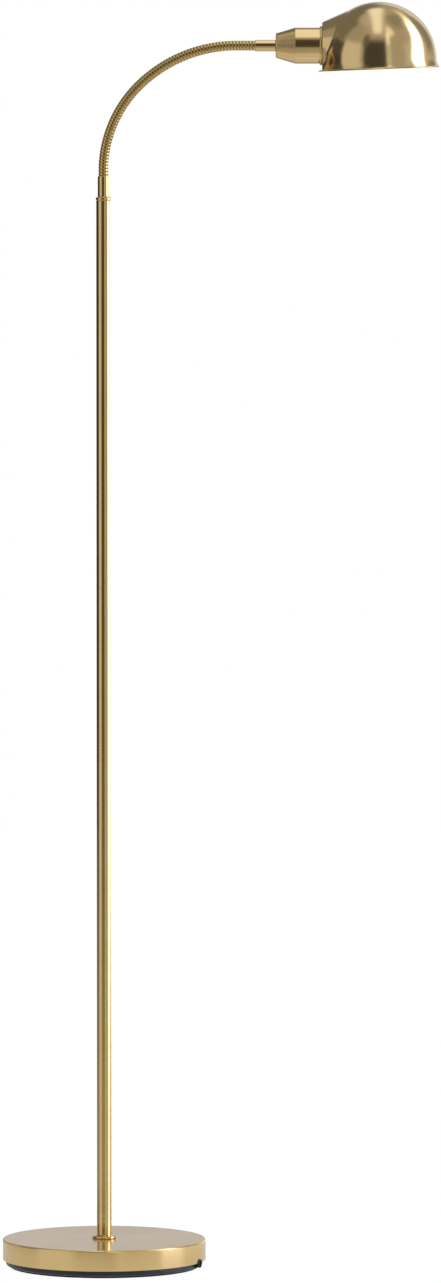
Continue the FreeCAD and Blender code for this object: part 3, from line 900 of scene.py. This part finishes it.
@dataclass
class Studio:
    """Camera, floor, world and lamp, none of which is part of the object.

    Pool and near are the light that the brass sees on the floor, far out and round the base.
    Strip is a band of light overhead, by its place on x and its elevation.
    """

    camera_at: tuple[float, float, float] = (0.129, -10.25, 1.3265)
    aim_at: tuple[float, float, float] = (0.129, 0.0, 0.6947)
    lens_mm: float = 260.65
    sensor_mm: float = 36.0
    view_distance: float = 100.0
    floor_radius: float = 6.0
    floor_steps: int = 96
    floor_tone: float = 0.62
    glow_level: float = 1.1
    glow_share: float = 0.85
    pool_level: float = 0.74
    pool_share: float = 0.42
    pool_radius: float = 4.4
    pool_fall: float = 1.5
    pool_rise: tuple[float, float] = (0.25, 0.75)
    near_share: float = 0.84
    near_edge: tuple[float, float] = (0.29, 0.41)
    mid_level: float = 0.45
    strip_middle: float = -0.05
    strip_half: float = 0.13
    strip_soft: float = 0.07
    strip_low: float = 54.0
    strip_soft_up: float = 10.0
    strip_colour: Colour = (1.05, 1.12, 1.25, 1.0)
    lamp_energy: float = 1.0
    lamp_width_deg: float = 25.0
    lamp_turn_deg: tuple[float, float] = (25.0, -15.0)
    cards: Sequence[Card] = (
        Card(-120, 75, 28, 64, 0.38, soft=12, soft_up=8),
        Card(0, 179, 66, 90, 0.52, soft_up=14),
        Card(100, 42, 55, 80, 0.3, soft=24, soft_up=14),
        Card(-160, 20, 22, 58, 0.2, soft=8, soft_up=12),
        Card(-60, 20.5, -9, 31, 0.66, soft=1.5, soft_up=5),
        Card(-100, 17.5, -9, 27, 0.08, soft_up=3),
        Card(-131, 48, -9, 6, 0.05, soft_up=3),
        Card(-9, 24, -24, 40, 0.065, soft=1.5, soft_up=18),
        Card(-9, 24, -9, -0.4, 0.1, soft=1.5, soft_up=0.6, tint=(1.0, 0.82, 0.5)),
        Card(-32, 7, 26, 50, 0.15, soft=3, soft_up=8),
        Card(19.5, 5, -9, 40, 0.64, soft=1.5, soft_up=8, tint=(0.97, 1.05, 1.0)),
        Card(25, 6.5, 31, 54, 1.35, soft=3.5, soft_up=8, tint=(1.0, 1.02, 1.15)),
        Card(33, 10, 48, 66, 1.05, soft=6, soft_up=12, tint=(1.0, 1.02, 1.1)),
        Card(47, 23, -9, 45, 0.43, soft_up=6),
        Card(64, 9, -9, 30, 0.56, soft=5, soft_up=6),
        Card(-122, 34, 27, 60, 0.2, soft=8, soft_up=6),
        Card(114, 10, -2, 30, 0.55, soft=3),
        Card(135, 17, 8, 42, 0.28, soft=6, soft_up=8),
        Card(164, 14, -1, 35, 0.8, soft=6, soft_up=8),
        Card(130, 48, -5.6, -0.4, 2.2, soft_up=0.6),
        Card(138, 40, -9, -5.6, 0.3, soft=3, soft_up=0.6),
        Card(180, 16, 3, 20, 0.56, soft=4, soft_up=4, tint=(0.97, 1.0, 1.12)),
        Card(128, 24, 44, 55, 1.0, soft=14, soft_up=9),
        Card(85, 16, -9, 50, 3.2, soft=3, soft_up=10, lean=26, tint=(0.93, 1.0, 1.3)),
        Card(0, 181, -90, -9, 0.26, soft_up=3),
        Card(0, 181, -90, -50, 0.6, soft_up=14),
    )

    def camera(self) -> None:
        """Sets the camera at the photograph's height, distance and tilt."""
        data = bpy.data.cameras.new("camera")
        data.lens = self.lens_mm
        data.sensor_width = self.sensor_mm
        data.clip_end = self.view_distance
        made = bpy.data.objects.new("camera", data)
        made.location = self.camera_at
        way = Vector(self.aim_at) - Vector(self.camera_at)
        made.rotation_euler = way.to_track_quat("-Z", "Y").to_euler()
        bpy.context.scene.collection.objects.link(made)
        bpy.context.scene.camera = made

    def world(self) -> None:
        """Paints the studio by direction; the camera itself sees plain white."""
        world = bpy.data.worlds.new("studio")
        world.use_nodes = True
        bpy.context.scene.world = world
        sheet = NodeSheet(world.node_tree)
        way = sheet.add("ShaderNodeTexCoord", output="Generated")
        x, y, z = sheet.parts(way)
        azimuth = x.bearing_deg(0 - y)
        elevation = z.arcsine_deg()
        colour = grey(self.mid_level)
        for card in self.cards:
            colour = sheet.mix(card.mask(azimuth, elevation), colour, card.colour)
        strip = 1 - (x - self.strip_middle).size().step(
            self.strip_half - self.strip_soft, self.strip_half + self.strip_soft
        )
        half = self.strip_soft_up / 2
        strip = strip * elevation.step(self.strip_low - half, self.strip_low + half)
        colour = sheet.mix(strip, colour, self.strip_colour)
        colour = sheet.mix(sheet.ray("Camera") + sheet.ray("Transmission"), colour, WHITE)
        light = sheet.add("ShaderNodeBackground", None, {"Color": colour})
        sheet.add("ShaderNodeOutputWorld", None, {"Surface": light})

    def floor_material(self) -> bpy.types.Material:
        """A pale floor whose shadow stays faint to the camera.

        Glossy rays pass through it, but for the near light within near_edge and the pool, which
        begins over pool_rise and fades as 1 / (1 + (away / pool_radius) ^ pool_fall).
        """
        material = bpy.data.materials.new("pale_floor")
        material.use_nodes = True
        sheet = NodeSheet(material.node_tree)
        camera, glossy = sheet.ray("Camera"), sheet.ray("Glossy")
        place = sheet.add("ShaderNodeTexCoord", output="Object")
        away = sheet.add("ShaderNodeVectorMath", {"operation": "LENGTH"}, {0: place}, "Value")
        pool = self.pool_share / (1 + (away / self.pool_radius) ** self.pool_fall)
        pool = pool * away.step(*self.pool_rise)
        pool = pool + (1 - away.step(*self.near_edge)) * self.near_share
        dull = sheet.add("ShaderNodeBsdfDiffuse", None, {"Color": grey(self.floor_tone)})
        glow, sheen = (
            sheet.add("ShaderNodeEmission", None, {"Color": WHITE, "Strength": level})
            for level in (self.glow_level, self.pool_level)
        )
        share = camera * self.glow_share
        both = sheet.add("ShaderNodeMixShader", None, {0: share, 1: dull, 2: glow})
        clear = sheet.add("ShaderNodeBsdfTransparent")
        pooled = sheet.add("ShaderNodeMixShader", None, {0: pool, 1: clear, 2: sheen})
        both = sheet.add("ShaderNodeMixShader", None, {0: glossy, 1: both, 2: pooled})
        sheet.add("ShaderNodeOutputMaterial", None, {"Surface": both})
        return material

    def floor(self) -> None:
        """Lays a round floor of one face under the lamp."""
        angle = np.linspace(0, FULL_TURN, self.floor_steps, endpoint=False)
        ring = np.stack([np.cos(angle), np.sin(angle), 0 * angle], 1) * self.floor_radius
        mesh = bpy.data.meshes.new("floor")
        mesh.from_pydata(ring.tolist(), [], [list(range(self.floor_steps))])
        mesh.materials.append(self.floor_material())
        add_object("floor", mesh)

    def lamp(self) -> None:
        """Hangs a soft lamp above, which gives dull surfaces their light and shadow."""
        data = bpy.data.lights.new("overhead", "SUN")
        data.energy = self.lamp_energy
        data.angle = math.radians(self.lamp_width_deg)
        made = bpy.data.objects.new("overhead", data)
        made.rotation_euler = (*(math.radians(turn) for turn in self.lamp_turn_deg), 0)
        made.visible_glossy = False
        bpy.context.scene.collection.objects.link(made)

    def build(self) -> None:
        """Sets up the whole studio at a plain level."""
        bpy.context.scene.view_settings.view_transform = "Standard"
        self.camera()
        self.world()
        self.floor()
        self.lamp()


def dress(frame: Mapping, finishes: Mapping[str, Finish]) -> None:
    """Gives every carried-over node its finish.

    Args:
        finishes: The finish for each node's name.
    """
    for name, finish in finishes.items():
        mesh = frame["nodes"][name].data
        mesh.materials.clear()
        mesh.materials.append(finish.material())
        LOG.info("%s is finished as %s", name, finish.name)


def main() -> None:
    """Builds the lamp around its frame."""
    logging.basicConfig(level=logging.INFO, format="%(name)s: %(message)s")
    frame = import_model()
    Studio().build()
    dress(frame, CARRIED)
    FootCollar().build(frame)
    Gooseneck().build(frame)


if __name__ == "__main__":
    main()
